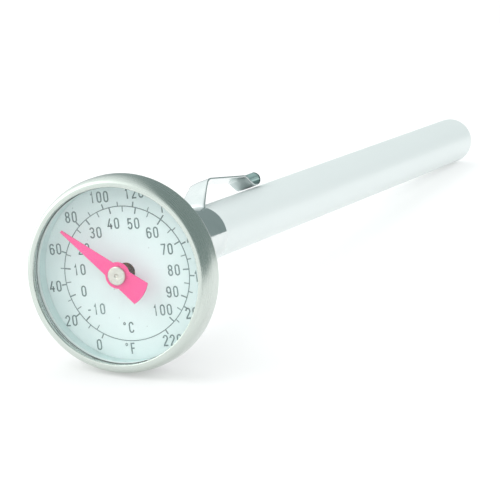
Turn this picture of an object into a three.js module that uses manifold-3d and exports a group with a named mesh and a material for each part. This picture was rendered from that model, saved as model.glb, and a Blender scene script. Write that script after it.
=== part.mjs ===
// Pocket dial meat thermometer in its sheath.
// A bimetal coil in the stem turns a spindle and a pointer over a dial. The stem slides in a moulded
// sheath whose mouth carries a chromed ferrule with a spring pocket clip.
// Frame: +Y runs along the stem from the dial, +Z to the dial's 12 o'clock, +X is right seen from the
// dial. The sheath is wider than the stem, so it sits loosely: it leans a little off the stem's axis,
// and its clip is turned a little left of +Z.
// Depths below are in millimetres behind the front plane of the bezel; DEPTH_SHIFT centres the whole.
import * as THREE from 'three';
import Module from 'manifold-3d';
import { mergeVertices } from 'three/addons/utils/BufferGeometryUtils.js';

const wasm = await Module();
wasm.setup();

// ---- Driving dimensions (mm) ----
const DIAL_RADIUS = 12.6; // half the visible opening of a one inch dial
const BEZEL_RADIUS = 14.12; // widest radius of the head
const LENS_DOME = 0.35; // how far the crystal's crown stands in front of the bezel
const STEM_RADIUS = 1.9;
const STEM_TIP = 134.5;
const SHEATH_RADIUS = 4.15;
const SHEATH_TIP = 158.5;
const MOUTH = 14.6; // front edge of the ferrule
const FERRULE_END = 31.5;
const CLIP_TURN = THREE.MathUtils.degToRad(-14.3); // from 12 o'clock, clockwise seen from the dial
const SHEATH_LEAN = THREE.MathUtils.degToRad(-0.688); // about X, so that the mouth sits high and the tip low
const SHEATH_PIVOT = 97.3; // depth where the leaning sheath's axis crosses the stem's

// ---- Sizes that follow ----
const DEPTH_SHIFT = LENS_DOME - (SHEATH_TIP + LENS_DOME) / 2;
const FIT = 0.1; // clearance between nested pieces
const CASE_RADIUS = 13.2;
const CASE_WALL = 0.4;
const CASE_BACK = 8.1;
const DIAL_FACE = 4.35;
const DIAL_THICKNESS = 0.3;
const DIAL_EDGE = 12.7;
const DIAL_HOLE = 1.33;
const STEM_BORE = 1.55;
const SPINDLE_RADIUS = 0.38;
const SHEATH_BORE = 3.1;
const SHEATH_WALL_END = 3;
const COIL_START = 92.6;
const COIL_END = 130.4;

// ---- The scale: 300 degrees from 0 to 220 Fahrenheit, with 110 at 12 o'clock ----
const SCALE_SWEEP = 300;
const SCALE_SPAN = 220;
const REST_READING = 74;
const POINTER_ANGLE = THREE.MathUtils.degToRad((REST_READING - SCALE_SPAN / 2) * SCALE_SWEEP / SCALE_SPAN);

const FINE = 72; // sides of the bezel
const ROUND = 36; // sides of the other round pieces

// ---- Finishes ----
const finish = (color, roughness, metalness) =>
  new THREE.MeshStandardMaterial({ color, roughness, metalness });
const brushedSteel = finish(0xb9bbb5, 0.35, 1);
const steel = finish(0xa9adad, 0.4, 1);
const chrome = finish(0xc8d0d0, 0.12, 1);
const brass = finish(0xb08d4a, 0.4, 1);
const bimetal = finish(0x8d8a80, 0.4, 1);
const dialWhite = finish(0xeef3f2, 0.6, 0);
const rehautWhite = finish(0xd2e2e0, 0.5, 0);
const pointerPink = finish(0xff5c98, 0.5, 0);
const sheathWhite = finish(0xe6eceb, 0.25, 0);
const sealWhite = finish(0xd6dedd, 0.7, 0);
const clear = finish(0xf4fbfa, 0.05, 0);

// ---- Helpers ----
// A turned piece: profile is a list of [radius, depth]. One that leaves the axis must come back to it;
// any other is closed here.
function turned(profile, sides = ROUND) {
  const points = profile.map(([r, y]) => new THREE.Vector2(r, y));
  const onAxis = profile[0][0] === 0;
  if (!onAxis) points.push(points[0].clone());
  const area = THREE.ShapeUtils.area(points);
  if (area < 0) points.reverse();
  return new THREE.LatheGeometry(points, sides);
}

// A flat-sided ring between two radii and two depths.
const ring = (inner, outer, front, back, sides = ROUND) =>
  turned([[inner, front], [outer, front], [outer, back], [inner, back]], sides);

// Points on an ellipse's arc, from one angle to another (radians), as [radius, depth].
function arc(centreR, centreY, semiR, semiY, from, to, steps) {
  return Array.from({ length: steps + 1 }, (_, i) => {
    const a = from + (to - from) * i / steps;
    return [centreR + semiR * Math.cos(a), centreY + semiY * Math.sin(a)];
  });
}

// Lays a flat extrusion in the dial's plane: its outline's up becomes +Z, and it ends at depth back.
function inDialPlane(shape, thickness, back, curveSegments = 8) {
  const geometry = new THREE.ExtrudeGeometry(shape, { depth: thickness, bevelEnabled: false, curveSegments });
  geometry.rotateX(Math.PI / 2);
  geometry.translate(0, back, 0);
  return geometry;
}

function piece(name, geometry, material) {
  const mesh = new THREE.Mesh(geometry, material);
  mesh.name = name;
  return mesh;
}

function solid(geometry) {
  const plain = geometry.clone();
  plain.deleteAttribute('normal');
  plain.deleteAttribute('uv');
  const merged = mergeVertices(plain, 1e-4);
  return new wasm.Manifold(new wasm.Mesh({
    numProp: 3,
    vertProperties: new Float32Array(merged.attributes.position.array),
    triVerts: new Uint32Array(merged.index.array),
  }));
}

function fromSolid(manifold) {
  const { vertProperties, triVerts } = manifold.getMesh();
  const geometry = new THREE.BufferGeometry();
  geometry.setAttribute('position', new THREE.BufferAttribute(vertProperties, 3));
  geometry.setIndex(new THREE.BufferAttribute(triVerts, 1));
  geometry.computeVertexNormals();
  return geometry;
}

// ---- Head: case, bezel, crystal and dial ----
function bezelRing() {
  const crown = 13.2; // the flat front plane runs out to here, then the shoulder begins
  const shoulder = arc(crown, 2.5, BEZEL_RADIUS - crown, 2.5, -Math.PI / 2, 0, 6);
  return turned([
    [DIAL_RADIUS, 0.95], [DIAL_RADIUS, 0.5], [12.66, 0.2], [12.8, 0],
    ...shoulder,
    [BEZEL_RADIUS, 4.1], [14.0, 4.35], [13.6, 4.45],
    [13.6, 2.4], [13.3, 1.55], [12.95, 1.0],
  ], FINE);
}

// A thin domed crystal with a flange that is trapped under the bezel's lip.
function lens() {
  const thickness = 0.8;
  const edge = DIAL_RADIUS - FIT;
  const rise = LENS_DOME + 0.55;
  const front = (r) => -LENS_DOME + rise * (r / edge) ** 2;
  const steps = [0, 3, 6, 8.5, 10.5];
  return turned([
    ...steps.map((r) => [r, front(r)]),
    [edge, front(edge)], [edge, 1.1], [12.95, 1.1], [12.95, 1.9], [12.45, 1.9], [12.3, front(12.3) + thickness],
    ...steps.toReversed().map((r) => [r, front(r) + thickness]),
  ]);
}

const lensGasket = () => ring(12.4, 12.95, 2.0, 2.4);

const spacerRing = () => ring(DIAL_EDGE - 0.35, DIAL_EDGE, 2.5, DIAL_FACE - FIT);

const dialPlate = () => ring(DIAL_HOLE, DIAL_EDGE, DIAL_FACE, DIAL_FACE + DIAL_THICKNESS);

const dialSupport = () => ring(11.1, 11.8, DIAL_FACE + DIAL_THICKNESS + FIT, 6.9);

function caseCup() {
  const corner = 2.9;
  const bend = arc(11.7, CASE_BACK - corner, CASE_RADIUS - 11.7, corner, 0, Math.PI / 2, 5);
  const inside = arc(11.5, 4.9, CASE_RADIUS - CASE_WALL - 11.5, 2.7, Math.PI / 2, 0, 5);
  return turned([
    [CASE_RADIUS - CASE_WALL, 2.6], [CASE_RADIUS, 2.6],
    ...bend,
    [2.7, CASE_BACK], [2.7, 7.6],
    ...inside,
  ]);
}

// ---- Stem: tube, tip, calibration nut and what holds the head on it ----
const stemTube = () => ring(STEM_BORE, STEM_RADIUS, 6.0, STEM_TIP - 3.45, 24);

function stemTip() {
  const shoulder = STEM_TIP - 3.35;
  return turned([
    [0, shoulder - 0.3], [STEM_BORE - 0.15, shoulder - 0.3], [STEM_BORE - 0.15, shoulder],
    [STEM_RADIUS, shoulder], [STEM_RADIUS, STEM_TIP - 2.2], [1.5, STEM_TIP - 0.9], [0.8, STEM_TIP - 0.2],
    [0, STEM_TIP],
  ], 24);
}

// Hexagonal nut fixed on the stem: a spanner holds it while the head is turned to calibrate.
function calibrationNut() {
  const acrossFlats = 8;
  const cornerRadius = acrossFlats / 2 / Math.cos(Math.PI / 6);
  const outline = new THREE.Shape();
  for (let i = 0; i < 6; i++) {
    const a = i * Math.PI / 3;
    outline[i === 0 ? 'moveTo' : 'lineTo'](cornerRadius * Math.cos(a), cornerRadius * Math.sin(a));
  }
  outline.closePath();
  const front = 8.4;
  const back = 13;
  const hex = solid(inDialPlane(outline, back - front, back));
  const chamfer = 0.5;
  const blank = solid(turned([
    [0, front], [cornerRadius - chamfer, front], [cornerRadius, front + chamfer],
    [cornerRadius, back - chamfer], [cornerRadius - chamfer, back], [0, back],
  ]));
  const bore = solid(turned([[0, front - 1], [STEM_RADIUS + FIT, front - 1], [STEM_RADIUS + FIT, back + 1],
    [0, back + 1]], 24));
  return fromSolid(hex.intersect(blank).subtract(bore));
}

// Flanged collar inside the case: its neck passes through the case's back to the nut.
function stemCollar() {
  const bore = STEM_RADIUS + FIT;
  return turned([[bore, 5.6], [4.2, 5.6], [4.2, 6.2], [2.4, 6.2], [2.4, 8.2], [bore, 8.2]]);
}

// Dished spring washer between the collar's flange and the case's back: it gives the turning friction.
const springWasher = () => turned([[2.9, 6.4], [4.7, 7.2], [4.7, 7.45], [2.9, 6.65]]);

const guideBush = (front, length) => ring(SPINDLE_RADIUS + 0.12, STEM_BORE - FIT, front, front + length, 24);

class Helix extends THREE.Curve {
  constructor(radius, front, back, turns) {
    super();
    Object.assign(this, { radius, front, back, turns });
  }

  getPoint(t, target = new THREE.Vector3()) {
    const a = 2 * Math.PI * this.turns * t;
    return target.set(this.radius * Math.sin(a), this.front + (this.back - this.front) * t,
      this.radius * Math.cos(a));
  }
}

function bimetalCoil() {
  const turns = 15;
  const half = 0.17;
  const section = new THREE.Shape([
    new THREE.Vector2(-half, -half), new THREE.Vector2(half, -half),
    new THREE.Vector2(half, half), new THREE.Vector2(-half, half),
  ]);
  return new THREE.ExtrudeGeometry(section, {
    steps: turns * 10, bevelEnabled: false, extrudePath: new Helix(1.1, COIL_START, COIL_END, turns),
  });
}

// ---- Pointer and the spindle that turns it ----
function pointerOutline() {
  const hub = 1.9;
  const tip = 10.4;
  const tail = 4.65;
  const half = { needle: 1.1, tip: 0.18, tailStart: 1.5, tailEnd: 1.85 };
  const onCircle = (radius, x) => Math.sqrt(radius ** 2 - x ** 2);
  const needleTurn = Math.atan2(onCircle(hub, half.needle), half.needle);
  const tailTurn = Math.atan2(-onCircle(hub, half.tailStart), half.tailStart);
  const endTurn = Math.atan2(-onCircle(tail, half.tailEnd), half.tailEnd);
  const outline = new THREE.Shape();
  outline.moveTo(half.needle, onCircle(hub, half.needle));
  outline.lineTo(half.tip, tip);
  outline.lineTo(-half.tip, tip);
  outline.lineTo(-half.needle, onCircle(hub, half.needle));
  outline.absarc(0, 0, hub, Math.PI - needleTurn, Math.PI - tailTurn, false);
  outline.absarc(0, 0, tail, Math.PI - endTurn, 2 * Math.PI + endTurn, false);
  outline.absarc(0, 0, hub, tailTurn, needleTurn, false);
  const hole = new THREE.Path();
  hole.absarc(0, 0, 0.7, 0, 2 * Math.PI, true);
  outline.holes.push(hole);
  return outline;
}

const pointer = () => inDialPlane(pointerOutline(), 0.2, 1.5);

// Turned boss that clamps the pointer on the spindle, with a centre mark in its face.
const pointerBoss = () => turned([
  [0, 0.95], [0.25, 0.8], [1.2, 0.8], [1.33, 0.9], [1.33, 1.2], [0.55, 1.2], [0.55, 1.75], [0, 1.75],
], 24);

const spindle = () => turned([[0, 1.85], [SPINDLE_RADIUS, 1.85], [SPINDLE_RADIUS, 90.6], [0, 90.6]], 12);

const coilHub = () => turned([[0, 90.75], [1.25, 90.75], [1.25, COIL_START - 0.3], [0, COIL_START - 0.3]], 16);

// ---- Sheath, ferrule and pocket clip ----
function sheathTube() {
  const neck = SHEATH_RADIUS - 0.2;
  const bore = SHEATH_BORE;
  const crown = arc(1.9, SHEATH_TIP - 2.7, SHEATH_RADIUS - 1.9, 2.5, 0, Math.PI / 2, 5);
  return turned([
    [0, SHEATH_TIP - SHEATH_WALL_END], [bore - 0.8, SHEATH_TIP - SHEATH_WALL_END],
    [bore, SHEATH_TIP - SHEATH_WALL_END - 0.8], [bore, MOUTH + 0.4], [neck, MOUTH + 0.4],
    [neck, FERRULE_END + FIT], [SHEATH_RADIUS, FERRULE_END + FIT],
    ...crown,
    [0, SHEATH_TIP],
  ]);
}

// Chromed ferrule over the sheath's mouth, its front edge turned in.
function clipFerrule() {
  const inner = SHEATH_RADIUS - 0.1;
  const outer = inner + 0.33;
  const lip = 3.3;
  return turned([
    [lip, MOUTH], [outer - 0.4, MOUTH], [outer, MOUTH + 0.3], [outer, FERRULE_END],
    [inner, FERRULE_END], [inner, MOUTH + 0.3], [lip, MOUTH + 0.3],
  ]);
}

// Side view of the clip's middle line as [depth, height above the axis].
function clipLine() {
  const line = new THREE.Path();
  line.moveTo(31.85, 4.62);
  line.lineTo(37.0, 7.24);
  line.quadraticCurveTo(37.8, 7.65, 38.7, 7.56);
  line.lineTo(51.1, 6.31);
  line.quadraticCurveTo(51.95, 6.22, 52.5, 5.71);
  line.bezierCurveTo(53.6, 4.7, 54.1, 4.44, 54.9, 4.44);
  line.bezierCurveTo(56.0, 4.44, 57.0, 4.8, 56.95, 5.5);
  line.lineTo(56.7, 6.4);
  return line.getPoints(5);
}

// A spring strip bent along clipLine, 4.6 mm wide at its foot, 3.5 mm at the fold and 3.3 mm at its tip.
function pocketClip() {
  const half = 0.15;
  const points = clipLine();
  const sides = points.map((point, i) => {
    const along = points[Math.min(i + 1, points.length - 1)].clone().sub(points[Math.max(i - 1, 0)]).normalize();
    const out = new THREE.Vector2(-along.y, along.x).multiplyScalar(half);
    return [point.clone().add(out), point.clone().sub(out)];
  });
  const outline = new THREE.Shape([...sides.map(([top]) => top), ...sides.map(([, under]) => under).reverse()]);
  const width = 4.6;
  const geometry = new THREE.ExtrudeGeometry(outline, { depth: width, bevelEnabled: false });
  geometry.translate(0, 0, -width / 2);
  geometry.applyMatrix4(new THREE.Matrix4().makeBasis(
    new THREE.Vector3(0, 1, 0), new THREE.Vector3(0, 0, 1), new THREE.Vector3(1, 0, 0)));
  const position = geometry.attributes.position;
  for (let i = 0; i < position.count; i++) {
    const towardsFold = THREE.MathUtils.clamp((position.getY(i) - 31.85) / 5.15, 0, 1);
    const towardsTip = THREE.MathUtils.clamp((position.getY(i) - 37) / 17, 0, 1);
    position.setX(i, position.getX(i) * (1 - 0.24 * towardsFold - 0.05 * towardsTip));
  }
  return geometry;
}

// ---- Assembly ----
function group(meshes, turn = 0) {
  const made = new THREE.Group();
  made.rotation.y = turn;
  made.add(...meshes);
  return made;
}

const sheath = group([
  piece('sheath_tube', sheathTube(), sheathWhite),
  piece('clip_ferrule', clipFerrule(), chrome),
]);

const clip = group([piece('pocket_clip', pocketClip(), chrome)], CLIP_TURN);

const sheathRest = new THREE.Group();
sheathRest.position.y = SHEATH_PIVOT;
sheathRest.rotation.x = SHEATH_LEAN;
for (const part of [sheath, clip]) {
  part.position.y = -SHEATH_PIVOT;
  sheathRest.add(part);
}

const stem = group([
  piece('stem_tube', stemTube(), steel),
  piece('stem_tip', stemTip(), steel),
  piece('calibration_nut', calibrationNut(), brushedSteel),
  piece('stem_collar', stemCollar(), brass),
  piece('spring_washer', springWasher(), steel),
  piece('guide_bush_front', guideBush(9, 3), brass),
  piece('guide_bush_rear', guideBush(86, 2), brass),
  piece('bimetal_coil', bimetalCoil(), bimetal),
]);

const head = group([
  piece('case_cup', caseCup(), brushedSteel),
  piece('bezel_ring', bezelRing(), brushedSteel),
  piece('lens', lens(), clear),
  piece('lens_gasket', lensGasket(), sealWhite),
  piece('spacer_ring', spacerRing(), rehautWhite),
  piece('dial_plate', dialPlate(), dialWhite),
  piece('dial_support', dialSupport(), rehautWhite),
]);

const needle = group([
  piece('pointer', pointer(), pointerPink),
  piece('pointer_boss', pointerBoss(), steel),
  piece('spindle', spindle(), steel),
  piece('coil_hub', coilHub(), brass),
], POINTER_ANGLE);

const thermometer = new THREE.Group();
thermometer.position.y = DEPTH_SHIFT;
thermometer.add(sheathRest, stem, head, needle);

export default thermometer;
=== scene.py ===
"""Pocket dial meat thermometer in its sheath: the looks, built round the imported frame.

Sizes are millimetres. A depth is measured behind the bezel's front plane, a radius from the stem's
axis, and an angle clockwise from the dial's 12 o'clock, seen from the dial.
"""
import math

import bmesh
import bpy
from mathutils import Matrix, Vector


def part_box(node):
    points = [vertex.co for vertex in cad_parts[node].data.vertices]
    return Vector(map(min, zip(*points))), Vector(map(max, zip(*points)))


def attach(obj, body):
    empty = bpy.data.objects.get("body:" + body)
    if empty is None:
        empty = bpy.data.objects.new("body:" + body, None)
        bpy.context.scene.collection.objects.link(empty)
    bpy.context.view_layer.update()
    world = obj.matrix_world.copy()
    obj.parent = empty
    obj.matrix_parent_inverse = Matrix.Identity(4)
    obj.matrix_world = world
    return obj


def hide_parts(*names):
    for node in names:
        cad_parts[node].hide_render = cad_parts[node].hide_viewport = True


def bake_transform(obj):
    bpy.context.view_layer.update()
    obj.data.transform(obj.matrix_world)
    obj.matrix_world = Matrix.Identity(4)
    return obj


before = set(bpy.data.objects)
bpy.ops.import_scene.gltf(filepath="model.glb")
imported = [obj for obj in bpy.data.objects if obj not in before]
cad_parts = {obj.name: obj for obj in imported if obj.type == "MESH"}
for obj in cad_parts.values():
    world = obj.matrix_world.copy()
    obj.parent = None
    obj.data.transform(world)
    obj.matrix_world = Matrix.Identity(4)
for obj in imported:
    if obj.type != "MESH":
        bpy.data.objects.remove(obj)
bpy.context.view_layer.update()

MM = 0.001

# ---- Places taken from the frame ----
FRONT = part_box("bezel_ring")[0].y / MM


def depths(node):
    """Front and back depth of a CAD node."""
    low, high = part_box(node)
    return low.y / MM - FRONT, high.y / MM - FRONT


def outer_radius(node):
    """Outer radius of a round CAD node."""
    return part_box(node)[1].z / MM


BEZEL_RADIUS = outer_radius("bezel_ring")
BEZEL_BACK = depths("bezel_ring")[1]
LENS_FRONT = depths("lens")[0]
DIAL_FACE, DIAL_BACK = depths("dial_plate")
DIAL_EDGE = outer_radius("dial_plate")
STEM_RADIUS = outer_radius("stem_tube")
CASE_BACK = depths("case_cup")[1]

# ---- Sizes of the finished pieces ----
FERRULE_FRONT, FERRULE_END = 14.6, 31.5
FERRULE_RADIUS = 4.38
SHEATH_RADIUS = 4.15
SHEATH_TIP = 158.5
LIP_RADIUS = 12.6
BEZEL_RIM = 4.1  # depth at which the bezel's widest part ends
LENS_EDGE = 12.57
LENS_SEAT = 12.95  # outer radius of the crystal and its seal
LENS_THICKNESS = 0.8
LENS_SAG = 0.9
SPACER_BORE = DIAL_EDGE - 0.12
DIAL_HOLE = 1.33
STEM_BORE = 1.55
SHEATH_BORE = 3.1
CLIP_TURN = math.radians(-14.3)  # the clip stands a little left of 12 o'clock
SHEATH_LEAN = math.radians(-0.688)  # the loose sheath leans off the stem's axis about the X axis
SHEATH_PIVOT = 97.3  # depth where the two axes cross
TIP_ROUND_START = 2.7  # how far before the sheath's tip its end starts to round
PAINTED_DARK_FROM, PAINTED_DARK_TO = 54.7, 55.6  # depths between which the clip's chrome turns duller and takes a painted dark reflection

# ---- The scale ----
SCALE_SWEEP = 300
SCALE_START, SCALE_STOP = 0, 220
REST_READING = 74
SCALE_RADIUS = 9.62


# ---- Mesh helpers ----
def point(radius, angle, depth):
    """A point in the frame, in metres."""
    return Vector((radius * math.sin(angle), FRONT + depth, radius * math.cos(angle))) * MM


def rounded(profile, fillet, closed=True, steps=4):
    """A profile of (radius, depth) with its corners eased. A corner's third number is its own fillet."""
    points = []
    last = len(profile) - 1
    for i, corner in enumerate(profile):
        here = Vector(corner[:2])
        size = corner[2] if len(corner) > 2 else fillet
        if size == 0 or (not closed and i in (0, last)):
            points.append(here)
            continue
        before = Vector(profile[i - 1][:2]) - here
        after = Vector(profile[(i + 1) % len(profile)][:2]) - here
        reach = min(size, 0.48 * before.length, 0.48 * after.length)
        start = here + before.normalized() * reach
        end = here + after.normalized() * reach
        for step in range(steps + 1):
            t = step / steps
            points.append((1 - t) ** 2 * start + 2 * t * (1 - t) * here + t * t * end)
    return points


def ellipse_arc(centre, semi, start, end, steps):
    """Points (radius, depth, 0) on an ellipse's arc, in degrees. The 0 means that no corner is eased."""
    made = []
    for step in range(steps + 1):
        a = math.radians(start + (end - start) * step / steps)
        made.append((centre[0] + semi[0] * math.cos(a), centre[1] + semi[1] * math.sin(a), 0))
    return made


def to_object(name, bm, sharp=40):
    """A mesh object with its faces pointing out and its flat faces kept flat in the shading."""
    bmesh.ops.recalc_face_normals(bm, faces=bm.faces)
    mesh = bpy.data.meshes.new(name)
    bm.to_mesh(mesh)
    bm.free()
    mesh.shade_smooth()
    mesh.set_sharp_from_angle(angle=math.radians(sharp))
    made = bpy.data.objects.new(name, mesh)
    bpy.context.scene.collection.objects.link(made)
    return made


def flat_shading(made):
    """Weights the normals by area, so that eased edges don't bend the reflections of flat faces."""
    modifier = made.modifiers.new("flat_faces", "WEIGHTED_NORMAL")
    modifier.keep_sharp = True
    return made


def turned(name, profile, sides=96):
    """A lathe-turned solid. A profile either starts and ends on the axis, or is closed into a ring."""
    bm = bmesh.new()
    rings = []
    for radius, depth in profile:
        if radius < 1e-6:
            rings.append([bm.verts.new(point(0, 0, depth))])
        else:
            rings.append([bm.verts.new(point(radius, 2 * math.pi * k / sides, depth))
                          for k in range(sides)])
    pairs = list(zip(rings, rings[1:]))
    if len(rings[0]) > 1:
        pairs.append((rings[-1], rings[0]))
    for a, b in pairs:
        for k in range(sides):
            n = (k + 1) % sides
            if len(a) == 1:
                bm.faces.new((a[0], b[n], b[k]))
            elif len(b) == 1:
                bm.faces.new((a[k], a[n], b[0]))
            else:
                bm.faces.new((a[k], a[n], b[n], b[k]))
    return flat_shading(to_object(name, bm))


def lofted(bm, loops, capped=True):
    """Joins closed loops of points into one skin."""
    rows = [[bm.verts.new(p) for p in loop] for loop in loops]
    pairs = list(zip(rows, rows[1:]))
    if not capped:
        pairs.append((rows[-1], rows[0]))
    for a, b in pairs:
        for k in range(len(a)):
            n = (k + 1) % len(a)
            bm.faces.new((a[k], a[n], b[n], b[k]))
    if capped:
        bm.faces.new(rows[0])
        bm.faces.new(rows[-1])


def lean(made):
    """Puts a piece that was made round the stem's axis on the leaning sheath's axis."""
    pivot = Vector((0, FRONT + SHEATH_PIVOT, 0)) * MM
    turn = Matrix.Translation(pivot) @ Matrix.Rotation(SHEATH_LEAN, 4, "X") @ Matrix.Translation(-pivot)
    made.data.transform(turn)
    return made


# ---- Material helpers ----
class Graph:
    """A material's node tree, with short calls for the nodes used here."""

    def __init__(self, name):
        self.material = bpy.data.materials.new(name)
        self.material.use_nodes = True
        self.tree = self.material.node_tree
        self.shader = self.tree.nodes["Principled BSDF"]
        self.output = self.tree.nodes["Material Output"]

    def add(self, kind, inputs=(), **settings):
        node = self.tree.nodes.new("ShaderNode" + kind)
        for key, value in settings.items():
            setattr(node, key, value)
        for key, value in dict(inputs).items():
            self.put(node.inputs[key], value)
        return node

    def put(self, socket, value):
        if isinstance(value, bpy.types.NodeSocket):
            self.tree.links.new(value, socket)
        else:
            socket.default_value = value

    def set(self, **values):
        for key, value in values.items():
            self.put(self.shader.inputs[key.replace("_", " ")], value)

    def math(self, operation, a, b=0.0):
        return self.add("Math", {0: a, 1: b}, operation=operation).outputs[0]

    def place(self):
        return self.add("TexCoord").outputs["Object"]

    def stretched(self, vector, scale):
        return self.add("Mapping", {"Vector": vector, "Scale": scale}).outputs[0]

    def noise(self, vector, scale, detail=3.0, roughness=0.5):
        node = self.add("TexNoise", {"Vector": vector, "Scale": scale,
                                     "Detail": detail, "Roughness": roughness})
        return node.outputs["Fac"]

    def ramp(self, value, low, high, start=0.0, end=1.0):
        """Maps start..end of value to the numbers low..high."""
        node = self.add("MapRange", {"Value": value, "From Min": start, "From Max": end,
                                     "To Min": low, "To Max": high})
        return node.outputs[0]

    def mix(self, factor, a, b):
        node = self.add("Mix", data_type="RGBA")
        self.put(node.inputs["Factor"], factor)
        self.put(node.inputs[6], a)
        self.put(node.inputs[7], b)
        return node.outputs[2]

    def bump(self, height, strength, distance, before=None):
        node = self.add("Bump", {"Height": height, "Strength": strength, "Distance": distance})
        if before is not None:
            self.put(node.inputs["Normal"], before)
        return node.outputs[0]

    def lathe_lines(self, across, along):
        """Coordinates that run fast across a turned surface and slowly round it."""
        x, y, z = self.add("SeparateXYZ", {0: self.place()}).outputs
        squares = self.math("ADD", self.math("MULTIPLY", x, x), self.math("MULTIPLY", z, z))
        radius = self.math("SQRT", squares)
        safe = self.math("MAXIMUM", radius, 1e-5)
        rise = self.math("MULTIPLY", self.math("ADD", radius, y), across)
        return self.add("CombineXYZ", {
            0: self.math("MULTIPLY", self.math("DIVIDE", x, safe), along),
            1: rise,
            2: self.math("MULTIPLY", self.math("DIVIDE", z, safe), along),
        }).outputs[0]


def turned_metal(name, colour, dark, roughness, spread, across=9000.0, along=5.0, groove=0.1, grain=0.0):
    """Metal with fine lines that run round the axis."""
    g = Graph(name)
    lines = g.noise(g.lathe_lines(across, along), 1.0, 4.0, 0.65)
    blotches = g.noise(g.place(), 260.0, 3.0)
    rough = g.math("ADD", g.ramp(lines, roughness - spread, roughness + spread, 0.3, 0.7),
                   g.ramp(blotches, -0.03, 0.03, 0.3, 0.7))
    g.set(Metallic=1.0, Roughness=rough)
    g.set(Base_Color=g.mix(g.ramp(lines, 0.0, 1.0, 0.25, 0.75), dark, colour))
    normal = g.bump(lines, groove, 0.00004)
    if grain:
        normal = g.bump(g.noise(g.place(), 2600.0, 2.0), grain, 0.00004, normal)
    g.set(Normal=normal)
    return g


def brushed_steel():
    g = turned_metal("brushed_steel", (0.66, 0.71, 0.67, 1), (0.57, 0.62, 0.58, 1), 0.25, 0.05,
                     groove=0.08, grain=0.05)
    g.set(Anisotropic=0.5, Tangent=g.add("Tangent", direction_type="RADIAL", axis="Y").outputs[0])
    return g.material


def case_steel():
    return turned_metal("case_steel", (0.66, 0.68, 0.68, 1), (0.52, 0.54, 0.54, 1), 0.3, 0.06,
                        groove=0.12).material


def stem_steel():
    return turned_metal("stem_steel", (0.70, 0.71, 0.71, 1), (0.6, 0.61, 0.61, 1), 0.16, 0.05,
                        across=12000.0).material


def brass():
    return turned_metal("brass", (0.78, 0.58, 0.28, 1), (0.52, 0.36, 0.16, 1), 0.28, 0.08).material


def bimetal():
    return turned_metal("bimetal", (0.55, 0.54, 0.5, 1), (0.42, 0.4, 0.36, 1), 0.32, 0.08).material


def boss_metal():
    return turned_metal("boss_metal", (0.82, 0.80, 0.75, 1), (0.56, 0.50, 0.44, 1), 0.34, 0.1,
                        across=14000.0, along=3.0, groove=0.2).material


def chrome():
    """Bright chrome. The clip's curled end is duller, and darker by a painted dark reflection."""
    g = Graph("clip_chrome")
    smears = g.noise(g.place(), 420.0, 4.0)
    hairs = g.noise(g.stretched(g.place(), (6000.0, 260.0, 6000.0)), 1.0, 3.0)
    rough = g.math("ADD", g.ramp(smears, 0.06, 0.14, 0.35, 0.7), g.ramp(hairs, 0.0, 0.05, 0.5, 0.8))
    colour = g.mix(g.ramp(smears, 0, 1, 0.3, 0.7), (0.68, 0.73, 0.73, 1), (0.74, 0.78, 0.775, 1))
    along = g.add("SeparateXYZ", {0: g.place()}).outputs[1]
    # painted dark reflection: past these depths the curled end gets a dark colour and a higher roughness
    dull_and_painted_reflection = g.ramp(along, 0.0, 1.0, (FRONT + PAINTED_DARK_FROM) * MM, (FRONT + PAINTED_DARK_TO) * MM)
    g.set(Metallic=1.0, Roughness=g.math("ADD", rough, g.math("MULTIPLY", dull_and_painted_reflection, 0.1)))
    # the dark colour is a painted reflection, not a tone of the chrome itself
    g.set(Base_Color=g.mix(dull_and_painted_reflection, colour, (0.19, 0.26, 0.255, 1)))
    g.set(Normal=g.bump(g.noise(g.place(), 500.0, 2.0), 0.06, 0.00005))
    return g.material


def crystal():
    """Clear glass. Its shadow rays pass straight through, so that the lamps reach the dial."""
    g = Graph("lens")
    g.set(Base_Color=(0.97, 1.0, 0.995, 1), Roughness=0.0, IOR=1.49, Transmission_Weight=1.0)
    clear = g.add("BsdfTransparent", {"Color": (0.94, 0.97, 0.965, 1)})
    shadow = g.add("LightPath").outputs["Is Shadow Ray"]
    mixed = g.add("MixShader", {0: shadow, 1: g.shader.outputs[0], 2: clear.outputs[0]})
    g.put(g.output.inputs["Surface"], mixed.outputs[0])
    smears = g.noise(g.place(), 330.0, 3.0)
    g.set(Normal=g.bump(smears, 0.02, 0.00003))
    return g.material


SPECK_COLOUR = (0.3, 0.32, 0.32, 1)


def painted(name, colour, shade, roughness, speck=0.0):
    """Paint or moulded plastic with a faint unevenness, and a few small dust specks where asked."""
    g = Graph(name)
    cloud = g.noise(g.place(), 180.0, 4.0)
    base = g.mix(g.ramp(cloud, 0, 1, 0.35, 0.65), shade, colour)
    if speck:
        cells = g.add("TexVoronoi", {"Vector": g.place(), "Scale": 420.0, "Randomness": 1.0})
        dots = g.ramp(cells.outputs["Distance"], 1.0, 0.0, speck * 0.6, speck)
        base = g.mix(dots, base, SPECK_COLOUR)
    g.set(Base_Color=base, Roughness=g.ramp(cloud, roughness - 0.04, roughness + 0.04, 0.3, 0.7))
    g.set(Normal=g.bump(g.noise(g.place(), 2200.0, 3.0), 0.05, 0.00004))
    return g.material


def sheath_plastic():
    """Smooth white moulded plastic, a little glossier in places."""
    g = Graph("sheath_white")
    gloss = g.noise(g.place(), 60.0, 2.0)
    g.set(Base_Color=(0.72, 0.775, 0.77, 1), Roughness=g.ramp(gloss, 0.27, 0.37))
    return g.material


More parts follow.
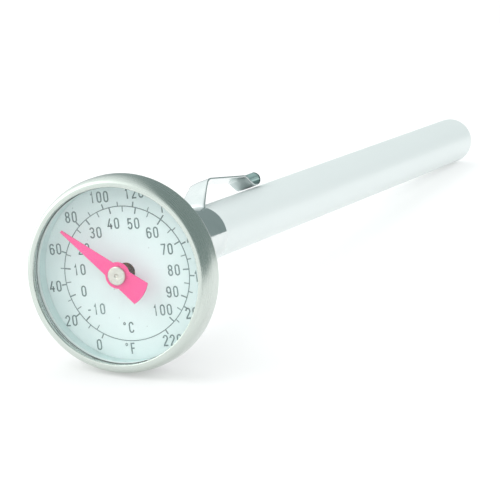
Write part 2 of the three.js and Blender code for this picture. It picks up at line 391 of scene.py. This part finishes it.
MATERIALS = {
    "brushed_steel": brushed_steel(),
    "case_steel": case_steel(),
    "clip_chrome": chrome(),
    "stem_steel": stem_steel(),
    "brass": brass(),
    "bimetal": bimetal(),
    "lens": crystal(),
    "gasket": painted("gasket", (0.80, 0.86, 0.855, 1), (0.76, 0.83, 0.82, 1), 0.6),
    "inner_ring": painted("inner_ring", (0.66, 0.80, 0.79, 1), (0.62, 0.77, 0.76, 1), 0.45),
    "dial_white": painted("dial_white", (0.82, 0.89, 0.89, 1), (0.80, 0.87, 0.87, 1), 0.5, speck=0.035),
    "dial_print": painted("dial_print", (0.10, 0.15, 0.15, 1), (0.18, 0.25, 0.25, 1), 0.5),
    "pointer_pink": painted("pointer_pink", (1.0, 0.065, 0.30, 1), (0.94, 0.055, 0.27, 1), 0.45),
    "boss_metal": boss_metal(),
    "sheath_white": sheath_plastic(),
}


def place_piece(made, slot, body, *nodes):
    """Gives a piece the material named by slot, parents it to its body's empty and hides the CAD nodes it
    takes the place of.
    """
    made.data.materials.append(MATERIALS[slot])
    if body:
        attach(made, body)
    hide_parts(*nodes)


# ---- Head ----
def make_bezel():
    crown = 13.2
    shoulder = ellipse_arc((crown, 2.5), (BEZEL_RADIUS - crown, 2.5), -90, 0, 18)
    profile = [
        (12.72, 0.95), (LIP_RADIUS, 0.6, 0.05), (LIP_RADIUS, 0.2, 0.1), (12.7, 0.0, 0.08),
        *shoulder,
        (BEZEL_RADIUS, BEZEL_RIM, 0.12), (14.0, 4.35, 0.12), (13.6, BEZEL_BACK),
        (13.6, 2.4, 0.3), (13.3, 1.55, 0.3), (12.95, 1.0),
    ]
    made = turned("bezel_ring_fine", rounded(profile, 0.04), 192)
    place_piece(made, "brushed_steel", "head", "bezel_ring")


def make_lens():
    steps = 14
    radii = [LENS_EDGE * k / steps for k in range(steps + 1)]
    front = [(r, LENS_FRONT + LENS_SAG * (r / LENS_EDGE) ** 2, 0) for r in radii]
    back = [(radius, depth + LENS_THICKNESS, 0) for radius, depth, _ in reversed(front[:-2])]
    rim = [(LENS_EDGE, 1.1), (LENS_SEAT, 1.1), (LENS_SEAT, 1.9), (12.72, 1.9), (12.52, 1.33)]
    made = turned("crystal", rounded([*front, *rim, *back], 0.03, closed=False), 128)
    place_piece(made, "lens", "head", "lens")


def simple_ring(name, inner, outer, front, back, fillet=0.04, sides=96):
    section = [(inner, front), (outer, front), (outer, back), (inner, back)]
    return turned(name, rounded(section, fillet), sides)


def make_dial():
    place_piece(simple_ring("crystal_seal", 12.55, LENS_SEAT, 2.0, 2.4, 0.12),
                "gasket", "head", "lens_gasket")
    front, back = depths("spacer_ring")
    place_piece(simple_ring("side_wall", SPACER_BORE, DIAL_EDGE, front, back, 0.06),
                "inner_ring", "head", "spacer_ring")
    place_piece(simple_ring("dial_face", DIAL_HOLE, DIAL_EDGE, DIAL_FACE, DIAL_BACK, 0.03, 128),
                "dial_white", "head", "dial_plate")
    front, back = depths("dial_support")
    place_piece(simple_ring("dial_carrier", 11.1, 11.8, front, back),
                "inner_ring", "head", "dial_support")


def make_case():
    profile = [
        (12.8, 2.6), (13.2, 2.6),
        *ellipse_arc((11.7, 5.2), (1.5, 2.9), 0, 90, 12),
        (2.7, CASE_BACK), (2.7, 7.6),
        *ellipse_arc((11.5, 4.9), (1.3, 2.7), 90, 0, 12),
    ]
    place_piece(turned("back_case", rounded(profile, 0.05), 160), "case_steel", "head", "case_cup")


make_bezel()
make_lens()
make_dial()
make_case()


# ---- Dial print ----
PRINT_HEIGHT = 0.03
PRINT_DROP = 0.25
DIGIT_HEIGHT = 1.6
DIGIT_WIDTH = 0.76
DIGIT_PITCH = 1.06
LINE = 0.19
FINE_LINE = 0.11
LABEL_SHIFT = 0.5  # the outer numbers on the right sit further out, with their ends under the bezel
LABEL_SHIFT_TOWARDS = math.radians(60)


def scale_angle(fahrenheit):
    middle = (SCALE_START + SCALE_STOP) / 2
    return math.radians((fahrenheit - middle) * SCALE_SWEEP / (SCALE_STOP - SCALE_START))


def on_dial(x, z, depth):
    """A point in the dial's plane, x to the right and z towards 12 o'clock."""
    return Vector((x, FRONT + depth, z)) * MM


def printed(x, z, depth):
    """A point of the print, which sits a little low on the dial."""
    return on_dial(x, z - PRINT_DROP, depth)


def arc_points(cx, cy, rx, ry, start, end, steps=8):
    """Points along an ellipse's arc in a glyph's own plane, in degrees anticlockwise from +X."""
    angles = [math.radians(start + (end - start) * k / steps) for k in range(steps + 1)]
    return [(cx + rx * math.cos(a), cy + ry * math.sin(a)) for a in angles]


def glyph(character):
    """The centre lines of one character in a cell 1 wide and 1 high: (points, closed) for each stroke.
    x is in widths and y in heights, both from 0 to 1 between the centres of the outer lines."""
    top = arc_points(0.5, 0.76, 0.5, 0.24, 180, 0)
    bottom = arc_points(0.5, 0.24, 0.5, 0.24, 360, 180)
    strokes = {
        "0": [(top + bottom, True)],
        "1": [([(0.12, 0.80), (0.30, 0.83), (0.44, 0.90), (0.52, 1.04), (0.52, -0.04)], False)],
        "2": [(top[:1] + arc_points(0.5, 0.76, 0.5, 0.24, 180, -20, 10)
               + [(0.84, 0.56), (0.02, 0.06), (0.02, 0.0), (1.04, 0.0)], False)],
        "4": [([(0.66, 1.04), (-0.02, 0.27), (1.12, 0.27)], False), ([(0.76, 0.52), (0.76, -0.04)], False)],
        "6": [(arc_points(0.5, 0.76, 0.5, 0.24, 10, 180) + [(0.0, 0.3)]
               + arc_points(0.5, 0.26, 0.5, 0.26, 180, 360)
               + [(1.0, 0.36)] + arc_points(0.5, 0.36, 0.5, 0.24, 0, 140, 8), False)],
        "3": [(arc_points(0.48, 0.77, 0.5, 0.23, 165, -70, 12) + [(0.34, 0.54)], False),
              (arc_points(0.48, 0.26, 0.52, 0.26, 68, -165, 12), False)],
        "5": [([(0.96, 1.0), (0.12, 1.0), (0.06, 0.52)]
               + arc_points(0.48, 0.31, 0.52, 0.31, 130, -160, 14), False)],
        "7": [([(-0.04, 1.0), (1.0, 1.0), (1.0, 0.93), (0.36, -0.04)], False)],
        "8": [(arc_points(0.5, 0.77, 0.46, 0.23, 0, 360, 20)[:-1], True),
              (arc_points(0.5, 0.27, 0.5, 0.27, 62, -242, 20), False)],
        "9": [(arc_points(0.5, 0.24, 0.5, 0.24, 190, 360) + [(1.0, 0.7)]
               + arc_points(0.5, 0.74, 0.5, 0.26, 0, 180)
               + [(0.0, 0.64)] + arc_points(0.5, 0.64, 0.5, 0.24, 180, 320, 8), False)],
        "-": [([(0.2, 0.46), (0.9, 0.46)], False)],
        "C": [(arc_points(0.5, 0.76, 0.5, 0.24, 0, 180)
               + arc_points(0.5, 0.24, 0.5, 0.24, 180, 360), False)],
        "F": [([(0.0, -0.04), (0.0, 1.0), (0.9, 1.0)], False), ([(0.1, 0.5), (0.76, 0.5)], False)],
        "o": [(arc_points(0.62, 0.92, 0.24, 0.13, 0, 360, 14)[:-1], True)],
    }
    return strokes[character]


def ribbon(bm, centres, closed, width):
    """A raised line of even width along centres, which are (x, z) on the dial."""
    front, back = DIAL_FACE - PRINT_HEIGHT, DIAL_FACE
    points = [Vector(p) for p in centres]
    count = len(points)
    rows = []
    for i, here in enumerate(points):
        before = points[i - 1] if closed or i else None
        after = points[(i + 1) % count] if closed or i < count - 1 else None
        a = (here - before).normalized() if before else (after - here).normalized()
        b = (after - here).normalized() if after else a
        normal = Vector((-(a + b).y, (a + b).x)).normalized()
        reach = width / 2 / max(normal.dot(Vector((-a.y, a.x))), 0.5)
        left, right = here + normal * reach, here - normal * reach
        rows.append([printed(left.x, left.y, front), printed(right.x, right.y, front),
                     printed(right.x, right.y, back), printed(left.x, left.y, back)])
    lofted(bm, rows, capped=not closed)


def write_label(bm, text, x, z):
    """Writes a word centred on (x, z)."""
    wide = DIGIT_WIDTH - LINE
    tall = DIGIT_HEIGHT - LINE
    start = x - DIGIT_PITCH * (len(text) - 1) / 2 - wide / 2
    for i, character in enumerate(text):
        for centres, closed in glyph(character):
            placed = [(start + DIGIT_PITCH * i + cx * wide, z - tall / 2 + cy * tall) for cx, cy in centres]
            ribbon(bm, placed, closed, FINE_LINE if character == "o" else LINE)


def tick(bm, angle, start, end, width):
    direction = Vector((math.sin(angle), math.cos(angle)))
    ribbon(bm, [direction * start, direction * end], False, width)


def make_print():
    thin, thick = 0.12, 0.18
    short, long = 0.72, 0.86
    outer_share = 0.8  # the outer scale's ticks are a little shorter
    fahrenheit_labels, celsius_labels = 11.4, 7.3
    edge = SCALE_RADIUS + thin / 2
    inside = SCALE_RADIUS - thin / 2
    ticks = bmesh.new()
    labels = bmesh.new()
    for value in range(SCALE_START, SCALE_STOP + 1, 10):
        strong = value % 20 == 0
        a = scale_angle(value)
        tick(ticks, a, edge, edge + (long if strong else short) * outer_share, thick if strong else thin)
        if strong:
            away = fahrenheit_labels + LABEL_SHIFT * max(math.cos(a - LABEL_SHIFT_TOWARDS), 0) ** 2
            write_label(labels, str(value), away * math.sin(a), away * math.cos(a))
    for celsius in range(-15, 101, 5):
        strong = celsius % 10 == 0
        a = scale_angle(celsius * 1.8 + 32)
        tick(ticks, a, inside, inside - (long if strong else short), thick if strong else thin)
        if strong:
            write_label(labels, str(celsius), celsius_labels * math.sin(a), celsius_labels * math.cos(a))
    write_label(labels, "oC", -0.9, -7.7)
    write_label(labels, "oF", -1.0, -10.7)
    circle = bmesh.new()
    round_points = [(SCALE_RADIUS * math.sin(a), SCALE_RADIUS * math.cos(a))
                    for a in (2 * math.pi * k / 180 for k in range(180))]
    ribbon(circle, round_points, True, thin)
    for name, bm in (("scale_ticks", ticks), ("scale_numbers", labels), ("scale_circle", circle)):
        made = to_object(name, bm)
        place_piece(made, "dial_print", "head")


make_print()


# ---- Pointer ----
def pointer_outline():
    """The pointer's outline as (across, along), pointing along +."""
    hub, tip, tail = 1.9, 10.4, 4.65
    needle, point_half, tail_start, tail_end = 1.1, 0.18, 1.5, 1.85

    def around(radius, start, end, steps):
        return [(radius * math.cos(start + (end - start) * k / steps),
                 radius * math.sin(start + (end - start) * k / steps)) for k in range(steps + 1)]

    needle_turn = math.acos(needle / hub)
    tail_turn = -math.acos(tail_start / hub)
    end_turn = -math.acos(tail_end / tail)
    outline = [(point_half, tip), (-point_half, tip)]
    outline += around(hub, math.pi - needle_turn, math.pi - tail_turn, 14)
    outline += around(tail, math.pi - end_turn, 2 * math.pi + end_turn, 18)
    outline += around(hub, tail_turn, needle_turn, 14)
    return outline


def make_pointer():
    front, back = depths("pointer")
    angle = scale_angle(REST_READING)
    ease, hole_radius = 0.04, 0.7
    along = Vector((math.sin(angle), math.cos(angle)))
    across = Vector((math.cos(angle), -math.sin(angle)))
    outline = [across * x + along * y for x, y in pointer_outline()]
    turns = [2 * math.pi * k / len(outline) for k in range(len(outline))]
    hole = [Vector((hole_radius * math.cos(a), hole_radius * math.sin(a))) for a in turns]
    bm = bmesh.new()

    def inset(points, amount):
        moved = []
        for i, here in enumerate(points):
            a = (here - points[i - 1]).normalized()
            b = (points[(i + 1) % len(points)] - here).normalized()
            normal = Vector((-(a + b).y, (a + b).x)).normalized()
            moved.append(here + normal * amount)
        return moved

    turn = sum(a.x * b.y - a.y * b.x for a, b in zip(outline, outline[1:]))
    sign = 1 if turn > 0 else -1
    rings = [(inset(outline, sign * ease), front), (outline, front + ease), (outline, back - ease),
             (inset(outline, sign * ease), back)]
    rows = [[bm.verts.new(on_dial(p.x, p.y, d)) for p in points] for points, d in rings]
    for a, b in zip(rows, rows[1:]):
        for k in range(len(a)):
            n = (k + 1) % len(a)
            bm.faces.new((a[k], a[n], b[n], b[k]))
    hole_rows = [[bm.verts.new(on_dial(p.x, p.y, d)) for p in hole] for d in (front, back)]
    for k in range(len(hole)):
        n = (k + 1) % len(hole)
        bm.faces.new((hole_rows[0][k], hole_rows[0][n], hole_rows[1][n], hole_rows[1][k]))
    for outer_row, inner_row in ((rows[0], hole_rows[0]), (rows[-1], hole_rows[1])):
        edges = []
        for row in (outer_row, inner_row):
            for k in range(len(row)):
                edges.append(bm.edges.get((row[k], row[(k + 1) % len(row)])))
        bmesh.ops.triangle_fill(bm, edges=edges, use_beauty=True)
    place_piece(flat_shading(to_object("needle_plate", bm)), "pointer_pink", "needle", "pointer")


def make_boss():
    profile = [
        (0, 1.05), (0.2, 0.98, 0.05), (0.34, 0.8, 0.05), (1.2, 0.8, 0.04), (1.33, 0.9, 0.05), (1.33, 1.2),
        (0.55, 1.2), (0.55, 1.75), (0, 1.75),
    ]
    place_piece(turned("pointer_boss_fine", rounded(profile, 0.03, closed=False), 64),
                "boss_metal", "needle", "pointer_boss")
    front, back = depths("spindle")
    radius = outer_radius("spindle")
    profile = [(0, front), (radius, front), (radius, back), (0, back)]
    place_piece(turned("spindle_rod", rounded(profile, 0.05, closed=False), 32),
                "stem_steel", "needle", "spindle")
    front, back = depths("coil_hub")
    radius = outer_radius("coil_hub")
    profile = [(0, front), (radius, front), (radius, back), (0, back)]
    place_piece(turned("coil_hub_fine", rounded(profile, 0.12, closed=False), 48),
                "brass", "needle", "coil_hub")


make_pointer()
make_boss()


# ---- Stem ----
def make_stem():
    front, back = depths("stem_tube")
    place_piece(simple_ring("stem_pipe", STEM_BORE, STEM_RADIUS, front, back, 0.06, 64),
                "stem_steel", "stem", "stem_tube")
    tip_front, tip = depths("stem_tip")
    shoulder = tip_front + 0.3
    neck = STEM_BORE - 0.15
    profile = [
        (0, tip_front), (neck, tip_front), (neck, shoulder), (STEM_RADIUS, shoulder, 0.1),
        (STEM_RADIUS, tip - 2.2, 0.6), (1.5, tip - 0.9, 0.5), (0.8, tip - 0.2, 0.4), (0, tip),
    ]
    place_piece(turned("stem_plug", rounded(profile, 0.05, closed=False, steps=6), 64),
                "stem_steel", "stem", "stem_tip")
    profile = [(2.0, 5.6), (4.2, 5.6), (4.2, 6.2), (2.4, 6.2, 0.15), (2.4, 8.2), (2.0, 8.2)]
    place_piece(turned("head_collar", rounded(profile, 0.08), 64), "brass", "stem", "stem_collar")
    profile = [(2.9, 6.4), (4.7, 7.2), (4.7, 7.45), (2.9, 6.65)]
    place_piece(turned("dished_washer", rounded(profile, 0.06), 64), "stem_steel", "stem", "spring_washer")
    for node in ("guide_bush_front", "guide_bush_rear"):
        front, back = depths(node)
        place_piece(simple_ring(node + "_fine", 0.5, outer_radius(node), front, back, 0.1, 48),
                    "brass", "stem", node)


def make_nut():
    """Hexagonal nut: a prism cut by a turned blank, which chamfers its six corners at both ends."""
    front, back = depths("calibration_nut")
    flats, bore, chamfer = 4.0, 2.0, 0.5
    corner = flats / math.cos(math.pi / 6)
    sides = 96
    bm = bmesh.new()

    def outline(cap):
        """The hexagon's outline, no further out than the radius cap."""
        made = []
        for k in range(sides):
            a = 2 * math.pi * k / sides
            reach = flats / math.cos((a + math.pi / 6) % (math.pi / 3) - math.pi / 6)
            made.append((min(reach, cap), a))
        return made

    levels = []
    steps = 6
    for step in range(steps + 1):
        t = step / steps
        levels.append((corner - chamfer * (1 - t) - 0.02, front + chamfer * t))
    levels += [(cap, back - (depth - front)) for cap, depth in reversed(levels)]
    loops = [[point(r, a + math.pi / 6, depth) for r, a in outline(cap)] for cap, depth in levels]
    inner = [(bore + 0.12, front), (bore, front + 0.12), (bore, back - 0.12), (bore + 0.12, back)]
    loops += [[point(r, 2 * math.pi * k / sides + math.pi / 6, depth) for k in range(sides)]
              for r, depth in reversed(inner)]
    lofted(bm, loops, capped=False)
    place_piece(flat_shading(to_object("hex_nut", bm, 25)), "case_steel", "stem", "calibration_nut")


def make_coil():
    """The helical bimetal strip."""
    low, high = depths("bimetal_coil")
    half = 0.17
    start, end = low + half, high - half
    radius, turns, per_turn = 1.1, 15, 32
    steps = turns * per_turn
    bm = bmesh.new()
    loops = []
    ease = 0.05
    section = [(half - ease, -half), (half, -half + ease), (half, half - ease), (half - ease, half),
               (ease - half, half), (-half, half - ease), (-half, ease - half), (ease - half, -half)]
    for step in range(steps + 1):
        t = step / steps
        angle = 2 * math.pi * turns * t
        depth = start + (end - start) * t
        loops.append([point(radius + r, angle, depth + d) for r, d in section])
    lofted(bm, loops)
    place_piece(to_object("bimetal_helix", bm), "bimetal", "stem", "bimetal_coil")


make_stem()
make_nut()
make_coil()


# ---- Sheath, ferrule and clip ----
def make_sheath():
    neck = SHEATH_RADIUS - 0.2
    wall_end = SHEATH_TIP - 3
    start = FERRULE_FRONT + 0.4
    step_depth = FERRULE_END + 0.1
    profile = [
        (0, wall_end), (SHEATH_BORE - 0.8, wall_end, 0.4), (SHEATH_BORE, wall_end - 0.8, 0.4),
        (SHEATH_BORE, start, 0.15), (neck, start, 0.1), (neck, step_depth), (SHEATH_RADIUS, step_depth, 0.1),
        (SHEATH_RADIUS, SHEATH_TIP - 40, 0),
        *ellipse_arc((1.9, SHEATH_TIP - TIP_ROUND_START), (SHEATH_RADIUS - 1.9, 2.5), 0, 90, 14),
        (0, SHEATH_TIP),
    ]
    made = lean(turned("sheath_body", rounded(profile, 0.05, closed=False), 128))
    place_piece(made, "sheath_white", "sheath", "sheath_tube")


def make_ferrule():
    inner = SHEATH_RADIUS - 0.1
    outer = FERRULE_RADIUS
    profile = [
        (3.3, FERRULE_FRONT), (outer, FERRULE_FRONT, 0.5), (outer, FERRULE_END, 0.1), (inner, FERRULE_END),
        (inner, FERRULE_FRONT + 0.3, 0.2), (3.3, FERRULE_FRONT + 0.3),
    ]
    made = lean(turned("ferrule", rounded(profile, 0.06, steps=6), 128))
    place_piece(made, "clip_chrome", "sheath", "clip_ferrule")


def bezier(points, steps):
    """Points on a Bezier curve of any order, without its first."""
    made = []
    for step in range(1, steps + 1):
        t = step / steps
        row = [Vector(p) for p in points]
        while len(row) > 1:
            row = [a.lerp(b, t) for a, b in zip(row, row[1:])]
        made.append(row[0])
    return made


def clip_line():
    """Side view of the clip's middle line as (depth, height above the axis)."""
    line = [Vector((31.42, 4.22))]
    line += bezier([(31.42, 4.22), (31.6, 4.48), (31.95, 4.68)], 4)
    line += bezier([(31.95, 4.68), (37.0, 7.24)], 14)
    line += bezier([(37.0, 7.24), (37.8, 7.65), (38.7, 7.56)], 10)
    line += bezier([(38.7, 7.56), (51.1, 6.31)], 14)
    line += bezier([(51.1, 6.31), (51.95, 6.22), (52.5, 5.71)], 8)
    line += bezier([(52.5, 5.71), (53.6, 4.7), (54.1, 4.44), (54.9, 4.44)], 12)
    line += bezier([(54.9, 4.44), (56.0, 4.44), (57.0, 4.8), (56.95, 5.5)], 12)
    line += bezier([(56.95, 5.5), (56.7, 6.4)], 5)
    return line


def make_clip():
    """A spring strip. Its foot is curled to the ferrule's round and flattens towards the first bend."""
    half_thick, edge_thick, edge_ease = 0.15, 0.09, 0.05
    foot_radius = FERRULE_RADIUS + 0.2
    fold, tip = 37.0, 54.0
    flat_by = 5  # the near half is flat this far past the fold
    columns = 16
    bm = bmesh.new()
    line = clip_line()
    loops = []
    for i, here in enumerate(line):
        along = (line[min(i + 1, len(line) - 1)] - line[max(i - 1, 0)]).normalized()
        out = Vector((-along.y, along.x))
        towards_fold = min(max((here.x - FERRULE_END) / (fold - FERRULE_END), 0), 1)
        towards_tip = min(max((here.x - fold) / (tip - fold), 0), 1)
        half = 2.3 * (1 - 0.24 * towards_fold - 0.05 * towards_tip)
        if i > len(line) - 8:  # the strip's last end has round corners
            half -= 0.6 * max(1 - (line[-1] - here).length / 0.9, 0) ** 2
        far = half + 1.1 * (1 - towards_fold) ** 0.8
        flattened = min(max((here.x - fold) / flat_by, 0), 1)
        near_curl = (1 - towards_fold) ** 1.5
        far_curl = (1 - 0.25 * towards_fold) * (1 - flattened) ** 2
        across = [-far + edge_ease + (far + half - 2 * edge_ease) * k / columns for k in range(columns + 1)]
        top = [(u, half_thick) for u in across]
        under = [(u, -half_thick) for u in reversed(across)]
        section = [(-far, edge_thick), *top, (half, edge_thick),
                   (half, -edge_thick), *under, (-far, -edge_thick)]
        loop = []
        for u, lift in section:
            curl = far_curl if u < 0 else near_curl
            drop = (foot_radius - math.sqrt(max(foot_radius ** 2 - u * u, 0))) * curl
            spot = here + out * lift
            height = spot.y - drop
            flat = Vector((u, FRONT + spot.x, height)) * MM
            loop.append(Matrix.Rotation(CLIP_TURN, 3, "Y") @ flat)
        loops.append(loop)
    lofted(bm, loops)
    made = lean(flat_shading(to_object("clip_strip", bm, 50)))
    place_piece(made, "clip_chrome", None, "pocket_clip")
    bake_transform(made)


make_sheath()
make_ferrule()
make_clip()


# ---- Floor, light and camera ----
REST_TURN = math.radians(9.22)  # how far the dial's 12 o'clock leans from upright as it lies


def floor_up():
    """The floor's normal: the object lies on the bezel's rim and on the sheath's tip."""
    tip_depth, rim_depth = SHEATH_TIP - TIP_ROUND_START, BEZEL_RIM
    tip_drop = (tip_depth - SHEATH_PIVOT) * math.sin(-SHEATH_LEAN)
    tilt = math.atan((BEZEL_RADIUS - SHEATH_RADIUS - tip_drop) / (tip_depth - rim_depth))
    flat = math.cos(tilt)
    return Vector((math.sin(REST_TURN) * flat, -math.sin(tilt), math.cos(REST_TURN) * flat))


UP = floor_up()


def make_floor():
    height = min(v.co.dot(UP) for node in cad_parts.values() for v in node.data.vertices)
    bm = bmesh.new()
    side = Vector((0, 1, 0)).cross(UP).normalized()
    ahead = UP.cross(side)
    reach, cells, gap = 0.24, 8, 0.00005
    middle = UP * (height - gap)
    steps = [reach * (2 * k / cells - 1) for k in range(cells + 1)]
    grid = [[bm.verts.new(middle + side * x + ahead * y) for x in steps] for y in steps]
    for j in range(cells):
        for i in range(cells):
            bm.faces.new((grid[j][i], grid[j][i + 1], grid[j + 1][i + 1], grid[j + 1][i]))
    mesh = bpy.data.meshes.new("table_top")
    bm.to_mesh(mesh)
    bm.free()
    floor = bpy.data.objects.new("table_top", mesh)
    bpy.context.scene.collection.objects.link(floor)
    g = Graph("table_white")
    g.set(Base_Color=(0.7, 0.7, 0.7, 1), Roughness=0.9, Specular_IOR_Level=0.1)
    g.set(Emission_Color=(1, 1, 1, 1), Emission_Strength=0.3)
    mesh.materials.append(g.material)


def area_light(name, direction, distance, size, watts):
    """A round white lamp that shines at the object's middle and isn't mirrored in it."""
    data = bpy.data.lights.new(name, "AREA")
    data.shape = "DISK"
    data.size = size
    data.energy = watts
    lamp = bpy.data.objects.new(name, data)
    spot = Vector(direction).normalized() * distance
    lamp.location = spot
    lamp.rotation_euler = (-spot).to_track_quat("-Z", "Y").to_euler()
    lamp.visible_glossy = False
    bpy.context.scene.collection.objects.link(lamp)


PANEL_DIRECTION = (-0.85, -0.3, 0.5)
ROOM_TONES = (  # how near a reflected direction is to the panel's, and what it shows
    (0.42, (1.0, 1.05, 1.05, 1)),
    (0.66, (1.22, 1.27, 1.26, 1)),
    (0.8, (1.6, 1.65, 1.62, 1)),
)
EVEN_LIGHT = (  # for these rays the whole room is one colour and strength
    ("Is Diffuse Ray", (0.96, 1.0, 1.0, 1), 0.68),
    ("Is Camera Ray", (1, 1, 1, 1), 1.02),
)


def make_world():
    """The room is different for each kind of ray. Matt surfaces get an even fill light and the camera sees
    white. Reflections see a grey room with a broad bright panel at the upper left."""
    world = bpy.data.worlds.new("studio")
    world.use_nodes = True
    nodes, links = world.node_tree.nodes, world.node_tree.links
    towards = nodes.new("ShaderNodeVectorMath")
    towards.operation = "DOT_PRODUCT"
    links.new(nodes.new("ShaderNodeTexCoord").outputs["Generated"], towards.inputs[0])
    towards.inputs[1].default_value = Vector(PANEL_DIRECTION).normalized()
    ramp = nodes.new("ShaderNodeValToRGB")
    low, high = ramp.color_ramp.elements
    low.position, low.color = 0.12, (0.275, 0.34, 0.335, 1)
    high.position, high.color = 1.0, (2.6, 2.65, 2.6, 1)
    for position, colour in ROOM_TONES:
        ramp.color_ramp.elements.new(position).color = colour
    links.new(towards.outputs["Value"], ramp.inputs[0])
    links.new(ramp.outputs[0], nodes["Background"].inputs["Color"])
    shader = nodes["Background"].outputs[0]
    for ray, colour, strength in EVEN_LIGHT:
        even = nodes.new("ShaderNodeBackground")
        even.inputs["Color"].default_value = colour
        even.inputs["Strength"].default_value = strength
        mix = nodes.new("ShaderNodeMixShader")
        links.new(nodes.new("ShaderNodeLightPath").outputs[ray], mix.inputs[0])
        links.new(shader, mix.inputs[1])
        links.new(even.outputs[0], mix.inputs[2])
        shader = mix.outputs[0]
    links.new(shader, nodes["World Output"].inputs["Surface"])
    bpy.context.scene.world = world


CAMERA_EYE = (161.20, -412.83, 48.20)
CAMERA_TARGET = (-10.07, -5.30, -7.79)
CAMERA_LENS = 192.1  # focal length for a 36 mm sensor


def make_camera():
    eye = Vector(CAMERA_EYE) * MM
    target = Vector(CAMERA_TARGET) * MM
    ahead = (target - eye).normalized()
    right = ahead.cross(UP).normalized()
    up = right.cross(ahead)
    data = bpy.data.cameras.new("camera")
    data.sensor_width = 36
    data.lens = CAMERA_LENS
    data.clip_start = 0.01
    camera = bpy.data.objects.new("camera", data)
    basis = Matrix((right, up, -ahead)).transposed().to_4x4()
    basis.translation = eye
    camera.matrix_world = basis
    bpy.context.scene.collection.objects.link(camera)
    bpy.context.scene.camera = camera


make_floor()
make_world()
make_camera()
area_light("key", (-0.9, -1.2, 1.6), 0.9, 0.7, 1.6)
area_light("front_fill", (1.2, -1.6, 0.4), 1.0, 0.8, 2.15)
area_light("right_fill", (1.4, 0.5, 1.0), 1.0, 0.8, 2.4)
area_light("top_fill", (-0.3, 0.6, 1.5), 0.9, 0.7, 1.6)
bpy.context.scene.view_settings.view_transform = "Standard"
bpy.context.scene.view_settings.look = "None"
